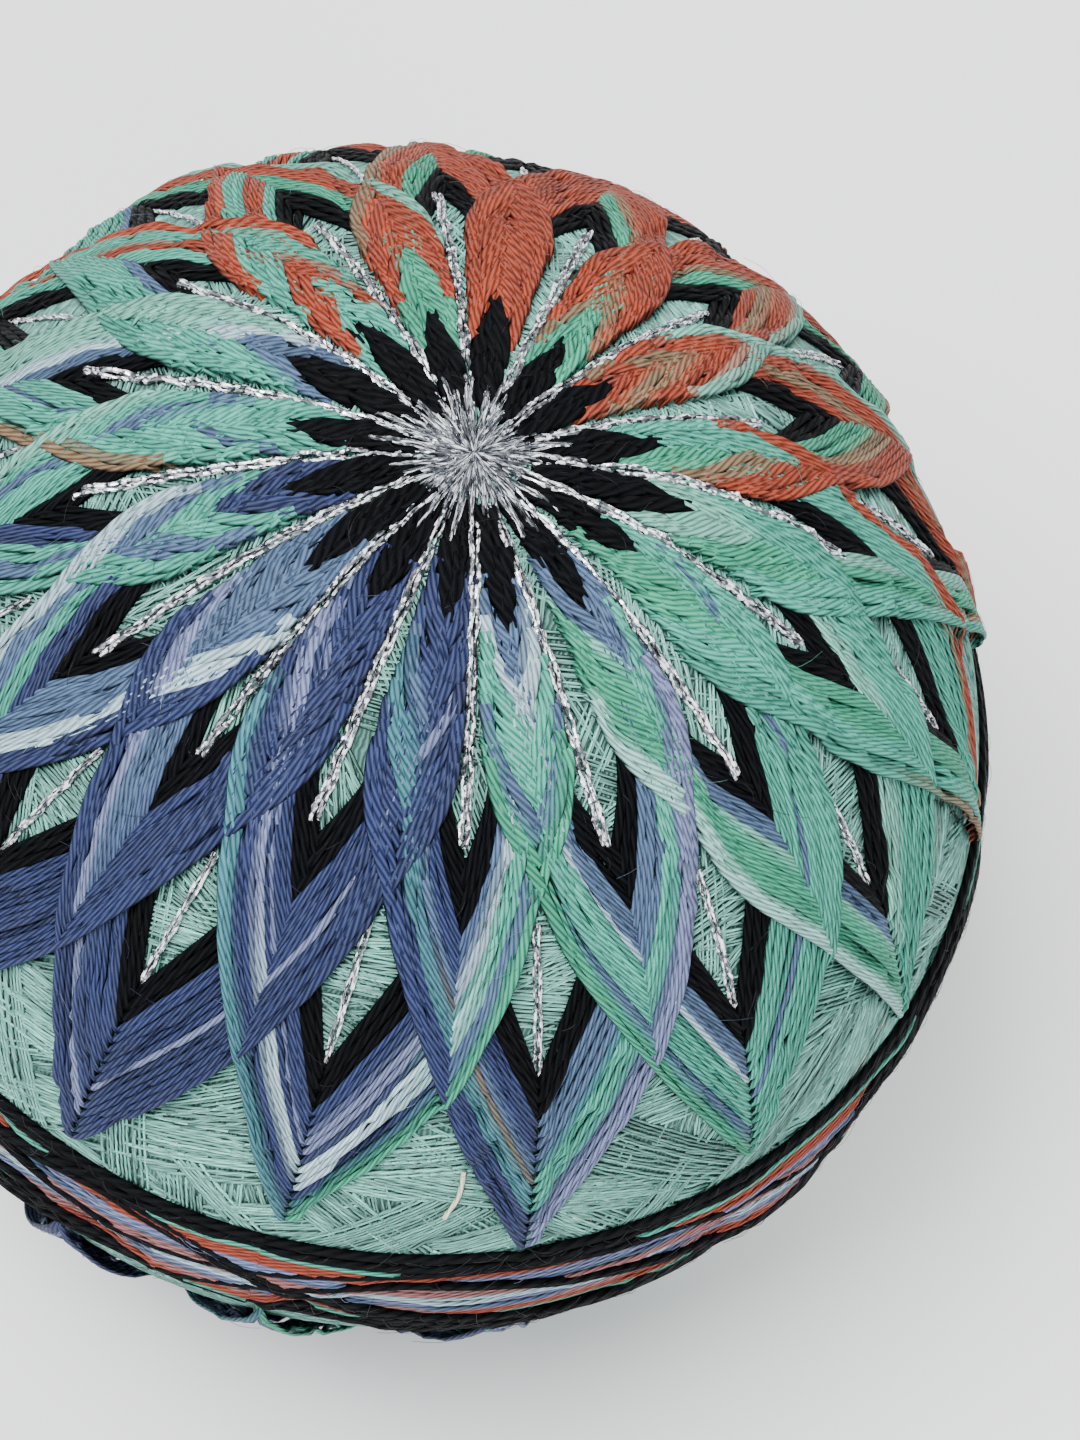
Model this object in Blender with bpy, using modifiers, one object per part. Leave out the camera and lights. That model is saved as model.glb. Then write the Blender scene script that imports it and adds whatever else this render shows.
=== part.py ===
"""A temari ball: a thread-wound ball that carries a stitched chrysanthemum on each half.

The ball rests on a small flat spot. Sixteen petals of laid thread run from each pole towards a belt
round the middle, and a silver star lies in the gaps between the petals of the upper half.
Units are metres and +Z is up. The origin is the middle of the flat spot.
"""

import math
from collections import namedtuple

import bmesh
import bpy

# Driving dimensions
BALL_RADIUS = 0.0438
FOOT_RADIUS = 0.006
LAYER_GAP = 0.0003
LAYER_THICKNESS = 0.0007
PETALS = 16
FIRST_PETAL = 3.25
RAY_HALF_WIDTH = 0.00045
BELT_HALF_ANGLE = 10.5
BELT_TILT = 3.0
BELT_TILT_AXIS = 160.0
BELT_RIDGES = 4
BELT_RIDGE_HEIGHT = 0.0004

# How finely the round shapes are cut
BALL_STEPS = 48
BALL_ARC_POINTS = 25
BELT_STEPS = 64
BELT_RIDGE_POINTS = 4
MERGE_DISTANCE = 0.00001

# What follows from them
HALF_SECTOR = 180.0 / PETALS
CENTRE_HEIGHT = math.sqrt(BALL_RADIUS**2 - FOOT_RADIUS**2)
# A flat facet dips under its own corners, so the layers start that much further out.
FACET_COSINE = math.cos(math.radians(HALF_SECTOR / 2))
LAYER_RADIUS = (BALL_RADIUS + LAYER_GAP) / FACET_COSINE

# One row for each ring of latitude that half a petal crosses. All are degrees: the angle down from
# the pole, and how far the cloth reaches in azimuth from the petal's axis at 0 to the gap at 11.25.
Ring = namedtuple("Ring", "down start end")
PETAL_RINGS = (
    Ring(9.0, 0.0, 1.5),
    Ring(13.0, 0.0, 4.6),
    Ring(18.5, 0.0, 6.2),
    Ring(25.0, 0.0, 7.0),
    Ring(31.0, 0.0, 8.8),
    Ring(34.5, 0.0, HALF_SECTOR),
    Ring(38.5, 0.0, HALF_SECTOR),
    Ring(43.0, 3.3, HALF_SECTOR),
    Ring(47.5, 4.9, HALF_SECTOR),
    Ring(51.5, 2.4, HALF_SECTOR),
    Ring(54.8, 0.0, HALF_SECTOR),
    Ring(62.0, 0.0, 7.9),
    Ring(69.0, 0.0, 4.1),
    Ring(75.5, 0.0, 0.0),
)
# Below this ring the petals of the lower half would sink under the flat spot.
LOWEST_RING = 18.5
STAR_DISC = 6.8
RAY_RINGS = (8.5, 14.0, 20.0, 26.0, 30.0)
RAY_END = 32.0


def clear_scene():
    for obj in list(bpy.data.objects):
        bpy.data.objects.remove(obj, do_unlink=True)


def make_material(name, colour, roughness, metallic=0.0):
    material = bpy.data.materials.new(name)
    material.use_nodes = True
    shader = material.node_tree.nodes["Principled BSDF"]
    shader.inputs["Base Color"].default_value = (*colour, 1.0)
    shader.inputs["Roughness"].default_value = roughness
    shader.inputs["Metallic"].default_value = metallic
    material.diffuse_color = (*colour, 1.0)
    return material


def add_object(name, mesh, collection, material):
    obj = bpy.data.objects.new(name, mesh)
    collection.objects.link(obj)
    mesh.materials.append(material)
    mesh.shade_smooth()
    return obj


def profile_mesh(name, points, closed):
    """A flat outline in the XZ plane, as edges for a Screw modifier. Points are (radius, height)."""
    edges = [(i, i + 1) for i in range(len(points) - 1)]
    if closed:
        edges.append((len(points) - 1, 0))
    mesh = bpy.data.meshes.new(name)
    mesh.from_pydata([(radius, 0.0, height) for radius, height in points], edges, [])
    return mesh


def turn(obj, steps):
    screw = obj.modifiers.new("turned", "SCREW")
    screw.axis = "Z"
    screw.angle = math.tau
    screw.steps = steps
    screw.render_steps = steps
    screw.use_merge_vertices = True
    screw.merge_threshold = MERGE_DISTANCE
    screw.use_smooth_shade = True


def make_ball(collection):
    """The wound ball, a sphere cut off flat where it rests."""
    foot_angle = math.pi - math.asin(FOOT_RADIUS / BALL_RADIUS)
    points = []
    for i in range(BALL_ARC_POINTS):
        down = foot_angle * i / (BALL_ARC_POINTS - 1)
        points.append((BALL_RADIUS * math.sin(down), CENTRE_HEIGHT + BALL_RADIUS * math.cos(down)))
    points[-1] = (FOOT_RADIUS, 0.0)
    points.append((0.0, 0.0))
    material = make_material("mint_wrap", (0.36, 0.60, 0.53), 0.85)
    ball = add_object("wound_ball", profile_mesh("wound_ball", points, False), collection, material)
    turn(ball, BALL_STEPS)


def make_belt(collection):
    """The belt round the middle, with a round ridge for each band of threads wound on."""
    half = math.radians(BELT_HALF_ANGLE)
    outer = LAYER_RADIUS + LAYER_THICKNESS - BELT_RIDGE_HEIGHT
    count = BELT_RIDGES * BELT_RIDGE_POINTS
    points = []
    for i in range(count + 1):
        share = i / count
        up = half * (1 - 2 * share)
        radius = outer + BELT_RIDGE_HEIGHT * abs(math.sin(math.pi * BELT_RIDGES * share))
        points.append((radius * math.cos(up), radius * math.sin(up)))
    for i in range(BELT_RIDGES + 1):
        up = half * (2 * i / BELT_RIDGES - 1)
        points.append((LAYER_RADIUS * math.cos(up), LAYER_RADIUS * math.sin(up)))
    material = make_material("belt_thread", (0.03, 0.03, 0.04), 0.9)
    belt = add_object("obi_band", profile_mesh("obi_band", points, True), collection, material)
    turn(belt, BELT_STEPS)
    belt.location = (0.0, 0.0, CENTRE_HEIGHT)
    tilt_axis = math.radians(BELT_TILT_AXIS)
    belt.rotation_mode = "AXIS_ANGLE"
    belt.rotation_axis_angle = (math.radians(BELT_TILT), math.cos(tilt_axis), math.sin(tilt_axis), 0.0)


def cap_point(ring_angle, azimuth, side):
    """A point of the layer's inner face. Side is 1 for the upper half of the ball and -1 for the lower."""
    down, around = math.radians(ring_angle), math.radians(azimuth)
    return (
        LAYER_RADIUS * math.sin(down) * math.cos(around),
        LAYER_RADIUS * math.sin(down) * math.sin(around),
        CENTRE_HEIGHT + side * LAYER_RADIUS * math.cos(down),
    )


def make_cap(name, rings, side, collection, material):
    """A pierced shell over one pole. The rings give half a petal, which is mirrored and turned sixteen times."""
    cap = bmesh.new()
    for sector in range(PETALS):
        for hand in (1, -1):
            axis = FIRST_PETAL + sector * 2 * HALF_SECTOR
            loft = []
            for ring in rings:
                ends = [axis + hand * ring.start, axis + hand * ring.end]
                loft.append([cap.verts.new(cap_point(ring.down, end, side)) for end in ends])
            for (a, b), (c, d) in zip(loft, loft[1:]):
                corners = [a, c, d, b] if hand * side > 0 else [a, b, d, c]
                cap.faces.new(corners)
    bmesh.ops.remove_doubles(cap, verts=cap.verts, dist=MERGE_DISTANCE)
    mesh = bpy.data.meshes.new(name)
    cap.to_mesh(mesh)
    cap.free()
    obj = add_object(name, mesh, collection, material)
    shell = obj.modifiers.new("thickness", "SOLIDIFY")
    shell.thickness = LAYER_THICKNESS
    shell.offset = 1.0


def make_petals(collection):
    upper = make_material("petal_thread_upper", (0.12, 0.14, 0.36), 0.7)
    lower = make_material("petal_thread_lower", (0.30, 0.33, 0.55), 0.7)
    make_cap("kiku_north", PETAL_RINGS, 1, collection, upper)
    above_floor = [ring for ring in PETAL_RINGS if ring.down >= LOWEST_RING]
    make_cap("kiku_south", above_floor, -1, collection, lower)


def ray_start(ring_angle):
    """The azimuth at which a ray of the star begins, on its way to the middle of the gap."""
    circle = LAYER_RADIUS * math.sin(math.radians(ring_angle))
    return HALF_SECTOR - math.degrees(RAY_HALF_WIDTH / circle)


def make_star(collection):
    """The silver star: a disc over the pole, and a tapering ray down the middle of each gap."""
    rings = [Ring(0.0, 0.0, HALF_SECTOR), Ring(STAR_DISC, 0.0, HALF_SECTOR)]
    rings += [Ring(angle, ray_start(angle), HALF_SECTOR) for angle in RAY_RINGS]
    rings.append(Ring(RAY_END, HALF_SECTOR, HALF_SECTOR))
    silver = make_material("silver_thread", (0.75, 0.76, 0.80), 0.3, 0.9)
    make_cap("star_north", rings, 1, collection, silver)


def main():
    clear_scene()
    collection = bpy.data.collections.new("temari_ball")
    bpy.context.scene.collection.children.link(collection)
    make_ball(collection)
    make_belt(collection)
    make_petals(collection)
    make_star(collection)


main()
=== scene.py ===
"""Looks of a temari ball: every laid thread of its petals, star, belt and wound base.

Threads are laid one after another over a map of the ball's surface that remembers how high the
threads already there reach, so that a later thread passes over an earlier one as in real stitching.
Angles down are measured from the upper pole, angles around from -Y towards +X, both in degrees.
"""

import math
from collections import namedtuple

import bmesh
import bpy
import numpy as np
from mathutils import Matrix, Vector


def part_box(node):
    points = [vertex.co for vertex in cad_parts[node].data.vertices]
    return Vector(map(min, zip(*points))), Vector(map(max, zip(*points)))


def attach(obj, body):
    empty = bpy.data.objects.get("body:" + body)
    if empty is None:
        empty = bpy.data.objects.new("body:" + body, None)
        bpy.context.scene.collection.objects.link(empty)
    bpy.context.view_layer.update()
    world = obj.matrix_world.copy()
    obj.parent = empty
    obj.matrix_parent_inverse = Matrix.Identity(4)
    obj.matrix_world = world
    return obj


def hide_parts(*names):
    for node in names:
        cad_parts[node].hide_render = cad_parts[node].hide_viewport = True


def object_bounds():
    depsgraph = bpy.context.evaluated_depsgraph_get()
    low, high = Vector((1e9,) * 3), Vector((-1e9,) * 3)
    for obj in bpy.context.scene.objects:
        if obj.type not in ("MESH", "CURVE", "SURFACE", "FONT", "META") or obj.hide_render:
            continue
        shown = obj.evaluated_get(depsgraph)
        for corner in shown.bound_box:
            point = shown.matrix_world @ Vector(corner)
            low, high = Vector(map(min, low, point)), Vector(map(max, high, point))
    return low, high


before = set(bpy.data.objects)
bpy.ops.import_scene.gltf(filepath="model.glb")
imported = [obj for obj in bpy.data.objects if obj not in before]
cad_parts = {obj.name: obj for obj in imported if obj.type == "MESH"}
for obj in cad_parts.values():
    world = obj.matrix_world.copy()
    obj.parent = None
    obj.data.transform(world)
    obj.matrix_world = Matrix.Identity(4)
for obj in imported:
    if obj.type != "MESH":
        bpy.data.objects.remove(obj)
CAD_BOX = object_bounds()

# The ball, from the frame
BALL_LOW, BALL_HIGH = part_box("wound_ball")
BALL_RADIUS = (BALL_HIGH.x - BALL_LOW.x) / 2
CENTRE = np.array([0.0, 0.0, BALL_HIGH.z - BALL_RADIUS])
OUTER_RADIUS = (CAD_BOX[1].x - CAD_BOX[0].x) / 2
FLOOR_CLEARANCE = 0.0002
MM = 0.001

rng = np.random.default_rng(16)


def add_object(name, data):
    """A new object in the scene, from a mesh, a light or a camera."""
    item = bpy.data.objects.new(name, data)
    bpy.context.scene.collection.objects.link(item)
    return item


# Camera

# In degrees, but for the distance and the lens in millimetres
VIEW_ELEVATION = 63.6
VIEW_DISTANCE = 6.7 * OUTER_RADIUS
VIEW_ROLL, VIEW_PAN, VIEW_TILT = 14.9, -2.06, 0.32
VIEW_LENS = 99.4


def make_camera():
    """Looks down on the upper pole, rolled, with the ball a little left of the middle."""
    camera = add_object("camera", bpy.data.cameras.new("camera"))
    bpy.context.scene.camera = camera
    camera.data.lens = VIEW_LENS
    rise = math.radians(VIEW_ELEVATION)
    back = Vector((0.0, -math.cos(rise), math.sin(rise)))
    look = (-back).to_track_quat("-Z", "Y").to_matrix()
    roll = Matrix.Rotation(math.radians(VIEW_ROLL), 3, "Z")
    pan = Matrix.Rotation(math.radians(VIEW_PAN), 3, "Y")
    tilt = Matrix.Rotation(math.radians(VIEW_TILT), 3, "X")
    turned = (look @ roll @ pan @ tilt).to_4x4()
    camera.matrix_world = Matrix.Translation(Vector(CENTRE) + back * VIEW_DISTANCE) @ turned
    camera.data.clip_start = 0.01
    camera.data.clip_end = 20.0


# Colours, as they look in daylight

COLOURS = {
    "black": (4, 5, 8),
    "indigo": (28, 38, 76),
    "slate": (62, 82, 110),
    "lavender": (98, 106, 140),
    "frost": (150, 176, 186),
    "mist": (124, 170, 162),
    "pale": (98, 158, 142),
    "mint": (60, 140, 122),
    "sea": (48, 134, 106),
    "teal": (50, 98, 108),
    "tan": (112, 90, 66),
    "coral": (130, 48, 24),
    "rose": (132, 86, 86),
    "wrap": (98, 154, 142),
    "cream": (214, 212, 186),
}


def linear(name):
    """The scene-linear colour of a named thread."""
    share = np.array(COLOURS[name]) / 255.0
    return np.where(share <= 0.04045, share / 12.92, ((share + 0.055) / 1.055) ** 2.4)


# The map of what lies on the ball

CELL = 0.125
MAP_ROWS, MAP_COLUMNS = int(180 / CELL), int(360 / CELL)
height_map = np.zeros((MAP_ROWS, MAP_COLUMNS), np.float32)
LAY_STEP = 0.2 * MM
# The places across a thread where it rests on the map and marks it, as shares of half its width
RESTS_AT = (-0.8, -0.4, 0.0, 0.4, 0.8)
MARKS_AT = (-0.9, -0.45, 0.0, 0.45, 0.9)
# The weights that smooth a thread's line over the steps to each side
SETTLE = (0.1, 0.24, 0.32, 0.24, 0.1)
# How high threads pile up, sinking into the ones below, the least share of its thickness that each
# adds, over how many steps to each side it spans what it lies on, and how often it is smoothed
Pile = namedtuple("Pile", "full least reach settling")
STITCH_PILE = Pile(1.15 * MM, 0.14, 2, 2)


def toward(down, around):
    """Unit vectors that point from the ball's centre to those angles, in degrees."""
    down, around = np.radians(down), np.radians(around)
    return np.stack(
        [np.sin(down) * np.sin(around), -np.sin(down) * np.cos(around), np.cos(down)], axis=-1
    )


def sideways(down, distance):
    """The degrees around the ball that move a point so far down to one side by a distance."""
    return np.degrees(distance / (BALL_RADIUS * np.sin(np.radians(down))))


def unit(vectors):
    """The same directions with a length of one."""
    return vectors / np.linalg.norm(vectors, axis=-1, keepdims=True)


def cells(directions):
    """The rows and columns of the map that hold those directions."""
    down = np.degrees(np.arccos(np.clip(directions[..., 2], -1, 1)))
    around = np.degrees(np.arctan2(directions[..., 0], -directions[..., 1])) % 360
    rows = np.minimum((down / CELL).astype(int), MAP_ROWS - 1)
    return rows, (around / CELL).astype(int) % MAP_COLUMNS


def tangents(paths):
    """The direction of each path at each of its points."""
    return unit(np.gradient(paths, axis=1))


def shifted(values, reach):
    """The rows of values moved along by each number of steps up to reach, either way."""
    padded = np.pad(values, ((0, 0), (reach, reach)), mode="edge")
    return [padded[:, i : i + values.shape[1]] for i in range(2 * reach + 1)]


def lay(paths, width, thickness, pile=STITCH_PILE):
    """Lays threads along paths, (threads, points, 3), and returns how high over the ball they are."""
    sides = np.cross(tangents(paths), paths)
    reach = width / 2 / BALL_RADIUS
    under = np.zeros(paths.shape[:2])
    for offset in RESTS_AT:
        under = np.maximum(under, height_map[cells(unit(paths + sides * reach * offset))])
    spanned = np.maximum.reduce(shifted(under, pile.reach))
    for _ in range(pile.settling):
        moved = shifted(spanned, len(SETTLE) // 2)
        spanned = sum(share * line for share, line in zip(SETTLE, moved))
    spanned = np.maximum(spanned, under)
    top = spanned + thickness * np.maximum(pile.least, 1 - spanned / pile.full)
    for offset in MARKS_AT:
        np.maximum.at(height_map, cells(unit(paths + sides * reach * offset)), top)
    return top - thickness / 2


# Threads as meshes

Section = namedtuple("Section", "across up")
ROUND_SECTION = (
    Section(-0.5, -0.3),
    Section(-0.36, 0.28),
    Section(0.0, 0.5),
    Section(0.36, 0.28),
    Section(0.5, -0.3),
)
# Two strands laid side by side, with as many corners
PAIR_SECTION = (
    Section(-0.5, -0.3),
    Section(-0.27, 0.5),
    Section(0.0, 0.1),
    Section(0.27, 0.5),
    Section(0.5, -0.3),
)
FLAT_SECTION = (Section(-0.5, -0.3), Section(0.0, 0.5), Section(0.5, -0.3))
# Each thread's material starts at its own place along it, up to this many millimetres on.
MOST_SHIFT = 400


class Skein:
    """Gathers threads and makes one mesh of them."""

    def __init__(self, section=ROUND_SECTION):
        self.section = section
        self.points, self.faces, self.caps, self.places, self.tints = [], [], [], [], []
        self.count = 0

    def add(self, paths, heights, width, thickness, tints, paired=0.0):
        """Adds tubes at heights over the ball. Where paired is 1, one is two strands side by side."""
        threads, length = paths.shape[:2]
        corners = len(self.section)
        sides = np.cross(tangents(paths), paths)
        centres = CENTRE + paths * (BALL_RADIUS + heights)[..., None]
        width, thickness, paired = (
            np.broadcast_to(value, (threads, length))[..., None] for value in (width, thickness, paired)
        )
        rings = []
        for corner, twin in zip(self.section, PAIR_SECTION):
            across = corner.across + (twin.across - corner.across) * paired
            up = corner.up + (twin.up - corner.up) * paired
            rings.append(centres + sides * width * across + paths * thickness * up)
        points = np.stack(rings, axis=2)
        points[..., 2] = np.maximum(points[..., 2], FLOOR_CLEARANCE)
        index = self.count + np.arange(threads * length * corners).reshape(threads, length, corners)
        following = np.roll(index, -1, axis=2)
        faces = np.stack(
            [index[:, :-1], following[:, :-1], following[:, 1:], index[:, 1:]], axis=-1
        )
        along = np.linalg.norm(np.diff(centres, axis=1), axis=-1).cumsum(axis=1) / MM
        along = np.pad(along, ((0, 0), (1, 0))) + rng.uniform(0, MOST_SHIFT, (threads, 1))
        around = np.arange(corners + 1) / corners
        shape = (threads, length - 1, corners)
        near = np.broadcast_to(along[:, :-1, None], shape)
        far = np.broadcast_to(along[:, 1:, None], shape)
        left = np.broadcast_to(around[:-1], shape)
        right = np.broadcast_to(around[1:], shape)
        places = np.stack([near, left, near, right, far, right, far, left], axis=-1)
        self.points.append(points.reshape(-1, 3))
        self.faces.append(faces.reshape(-1, 4))
        self.places.append(places.reshape(-1, 2))
        self.caps.append(np.concatenate([index[:, 0, ::-1], index[:, -1]]))
        tints = np.broadcast_to(tints, (threads, length, 3))
        self.tints.append(np.repeat(tints.reshape(-1, 3), corners, axis=0))
        self.count += threads * length * corners

    def build(self, name, material, smooth=True):
        """One object of all its threads. Its UV map says where along and around a thread a point is."""
        faces = np.concatenate(self.faces)
        caps = np.concatenate(self.caps)
        corners = np.concatenate([faces.reshape(-1), caps.reshape(-1)])
        totals = np.array([4] * len(faces) + [caps.shape[1]] * len(caps))
        mesh = bpy.data.meshes.new(name)
        mesh.vertices.add(self.count)
        mesh.vertices.foreach_set("co", np.concatenate(self.points).astype(np.float32).ravel())
        mesh.loops.add(len(corners))
        mesh.loops.foreach_set("vertex_index", corners.astype(np.int32))
        mesh.polygons.add(len(totals))
        mesh.polygons.foreach_set("loop_start", (totals.cumsum() - totals).astype(np.int32))
        mesh.polygons.foreach_set("use_smooth", np.full(len(totals), smooth))
        mesh.update(calc_edges=True)
        place = mesh.uv_layers.new(name="thread")
        places = np.concatenate([np.concatenate(self.places), np.zeros((caps.size, 2))])
        place.data.foreach_set("uv", places.astype(np.float32).ravel())
        tint = mesh.color_attributes.new("tint", "FLOAT_COLOR", "POINT")
        tints = np.concatenate(self.tints)
        tints = np.concatenate([tints, np.ones((len(tints), 1))], axis=1)
        tint.data.foreach_set("color", tints.astype(np.float32).ravel())
        mesh.materials.append(material)
        return add_object(name, mesh)


# Paths on the ball

SPAN_POINTS = 24


def smooth_path(controls):
    """A dense smooth line through control directions, (threads, controls, 3), on the unit ball."""
    spans = np.linalg.norm(np.diff(controls, axis=1), axis=-1, keepdims=True)
    slopes = np.diff(controls, axis=1) / spans
    before, after = spans[:, :-1], spans[:, 1:]
    inner = (slopes[:, :-1] * after + slopes[:, 1:] * before) / (before + after)
    slopes = np.concatenate([slopes[:, :1], inner, slopes[:, -1:]], axis=1)
    share = (np.arange(SPAN_POINTS) / SPAN_POINTS)[None, None, :, None]
    start, end = controls[:, :-1, None], controls[:, 1:, None]
    leave = (slopes[:, :-1] * spans)[:, :, None]
    arrive = (slopes[:, 1:] * spans)[:, :, None]
    square, cube = share**2, share**3
    line = (
        (2 * cube - 3 * square + 1) * start
        + (cube - 2 * square + share) * leave
        + (3 * square - 2 * cube) * end
        + (cube - square) * arrive
    )
    line = line.reshape(len(controls), -1, 3)
    return unit(np.concatenate([line, controls[:, -1:]], axis=1))


def evenly(paths, step):
    """The same lines with points at even steps, as many on each line."""
    travelled = np.linalg.norm(np.diff(paths, axis=1), axis=-1).cumsum(axis=1) * BALL_RADIUS
    travelled = np.pad(travelled, ((0, 0), (1, 0)))
    count = int(travelled[:, -1].max() / step) + 2
    even = np.empty((len(paths), count, 3))
    for line, distance, path in zip(even, travelled, paths):
        stops = np.linspace(0, distance[-1], count)
        for axis in range(3):
            line[:, axis] = np.interp(stops, distance, path[:, axis])
    return unit(even)


def thin_out(length, every):
    """Which points of a finely stepped path its mesh keeps: both ends and every few between."""
    return np.unique(np.append(np.arange(0, length, every), length - 1))


# The petals

PETALS = 16
SECTOR = 360.0 / PETALS
FIRST_RAY = 14.5
FIRST_PETAL = FIRST_RAY - SECTOR / 2
BLACK_ROWS, COLOURED_ROWS = 3, 13
ROWS = BLACK_ROWS + COLOURED_ROWS

# Where the stitches lie, in degrees: the edge of the first row, of the first coloured one, and of the
# last. A leg starts at one side of its petal, crosses its axis, leaves it at its other side, crosses
# a leg of the neighbouring petal midway, and ends at that petal's tip. The petal table says where the
# coloured rows cross the axis, and how far down the last tip is.
Reach = namedtuple("Reach", "first colour last")
START_ABOVE = Reach(2.6, 6.6, 11.5)
FIRST_CROSSING = 6.4
LEAVING = Reach(30.4, 33.6, 44.6)
LEAVING_TURN = Reach(7.0, 5.9, 3.1)
MIDWAY = Reach(35.8, 42.2, 58.2)
FIRST_TIP, COLOUR_TIP = 57.0, 61.0
# The petals of the lower half reach this much closer to the belt.
LOWER_TIP = 3.5
# How far to the side of the petal's axis a leg starts, and the share of that which strays
BLACK_START_TURN, START_TURN = 5.4, 7.4
TURN_STRAY = 0.03
# How far above its start it comes up, and where it bows outwards before its crossing, as shares of
# the way down and of the turn
COMING_UP = 0.8
BOW_DOWN, BOW_TURN = 0.4, 0.76
# Below this angle the petal's axis turns from its top's place to its middle's, over so many degrees.
AXIS_TURNS_BELOW, AXIS_TURNS_OVER = 17, 22

# One row for each petal, round from the one nearest -Y. In degrees, top, middle and foot are how far
# its upper end, middle and tip stray from an even spacing, colour and cross are where the first and
# last coloured rows cross its axis, and tip is how far down its lowest stitch is. Then come the
# colours of the legs that leave it to the left and right, from the first coloured row out. In a pair
# joined by > the dyed thread turns from one colour into the other on its way down.
Petal = namedtuple("Petal", "top middle foot colour cross tip left right")
PETAL_TABLE = (
    Petal(
        1.3, 0.5, -2.0, 16.0, 39.5, 76.4,
        "6 indigo 1 lavender 6 indigo",
        "4 indigo 1 slate 1 indigo>tan 3 teal 4 indigo",
    ),
    Petal(
        -1.1, -1.1, -2.0, 16.7, 38.7, 79.2,
        "3 slate>indigo 2 frost>lavender 1 mint>indigo 3 mint>frost 2 slate>indigo 2 sea",
        "3 slate 1 frost 5 mint 2 slate 2 sea",
    ),
    Petal(
        2.3, -0.2, -1.5, 16.5, 37.0, 76.6,
        "4 slate 1 slate>teal 4 mint 1 slate 3 lavender",
        "3 slate 1 pale 7 sea 2 mist",
    ),
    Petal(5.1, 1.0, -2.6, 17.1, 38.0, 77.0, "5 mint 1 slate 7 mint", "7 sea 4 mint 2 mint>tan"),
    Petal(3.0, 0.6, -4.0, 20.5, 40.7, 77.0, "4 pale 9 mint", "4 pale 5 sea 2 mint>tan 2 mint"),
    Petal(-1.3, -3.0, -5.0, 17.8, 37.6, 77.0, "8 mint 2 mint>tan 3 coral", "5 sea 3 tan 5 coral"),
    Petal(
        0.2, -1.1, -0.5, 16.2, 37.0, 77.0,
        "3 coral 3 tan 5 coral 2 pale",
        "3 coral 3 tan 5 coral 2 pale",
    ),
    Petal(-1.3, -0.4, -0.5, 16.0, 38.2, 77.0, "3 sea 2 tan 8 coral", "4 sea 2 tan 7 coral"),
    Petal(1.4, 0.8, -0.5, 18.2, 40.2, 77.0, "13 coral", "13 coral"),
    Petal(1.0, 0.4, -0.5, 16.3, 38.7, 77.0, "5 sea 6 coral 2 tan>mint", "5 sea 6 coral 2 pale"),
    Petal(
        0.0, 1.7, -0.5, 17.0, 42.0, 77.0,
        "2 mint 4 coral 4 mint 3 coral",
        "4 mint 3 coral 4 mint 2 coral",
    ),
    Petal(-0.2, 1.2, -0.5, 20.0, 41.0, 77.0, "2 slate 11 mint", "3 slate 2 frost 8 pale"),
    Petal(0.0, 1.1, -0.5, 16.5, 40.6, 77.0, "4 mint 1 slate 6 mint 2 tan", "6 mint 3 slate 2 mint 2 pale"),
    Petal(
        0.0, 1.0, 0.0, 17.0, 38.0, 77.0,
        "4 indigo 3 mint 3 slate 3 mint",
        "4 indigo 3 mint 3 slate 3 frost",
    ),
    Petal(
        1.6, 2.4, 1.0, 18.2, 40.0, 77.0,
        "7 slate 3 frost 3 indigo",
        "8 slate>indigo 2 lavender 3 indigo",
    ),
    Petal(
        -0.3, 0.4, -0.5, 17.0, 39.5, 77.8,
        "13 indigo",
        "3 indigo 1 lavender 1 indigo 2 lavender>frost 4 indigo 2 teal",
    ),
)

THREAD_WIDTH, THREAD_THICKNESS = 0.54 * MM, 0.31 * MM
YARN_WIDTH, YARN_THICKNESS = 0.68 * MM, 0.44 * MM
# In the braid a leg is two strands side by side, so many times as wide. Over this stretch of its
# length they come together.
BLACK_SWELL, BRAID_SWELL = 1.8, 1.75
BRAID_END = (0.3, 0.5)
# A leg comes up and goes down over these lengths, from under the surface, and ends past its tip.
RISE_LENGTH, SINK_LENGTH = 0.8 * MM, 1.5 * MM
DIVE = 0.4 * MM
TIP_OVERRUN = 0.8 * MM
# The meshes keep one in so many steps of a leg, fewer on the hidden lower half.
MESH_EVERY = {1: 4, -1: 8}
# How many degrees a stitch strays
STRAY = 0.14


def row_angle(first, colour, last, row):
    """The angle at which the middle of a row lies, between the edges of its kind of row."""
    if row < BLACK_ROWS:
        return first + (colour - first) * ((row + 0.5) / BLACK_ROWS)
    return colour + (last - colour) * ((row - BLACK_ROWS + 0.5) / COLOURED_ROWS)


def column(petals, name):
    """One column of the petal table, for those petals."""
    return np.array([getattr(PETAL_TABLE[petal], name) for petal in petals % PETALS])


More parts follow.
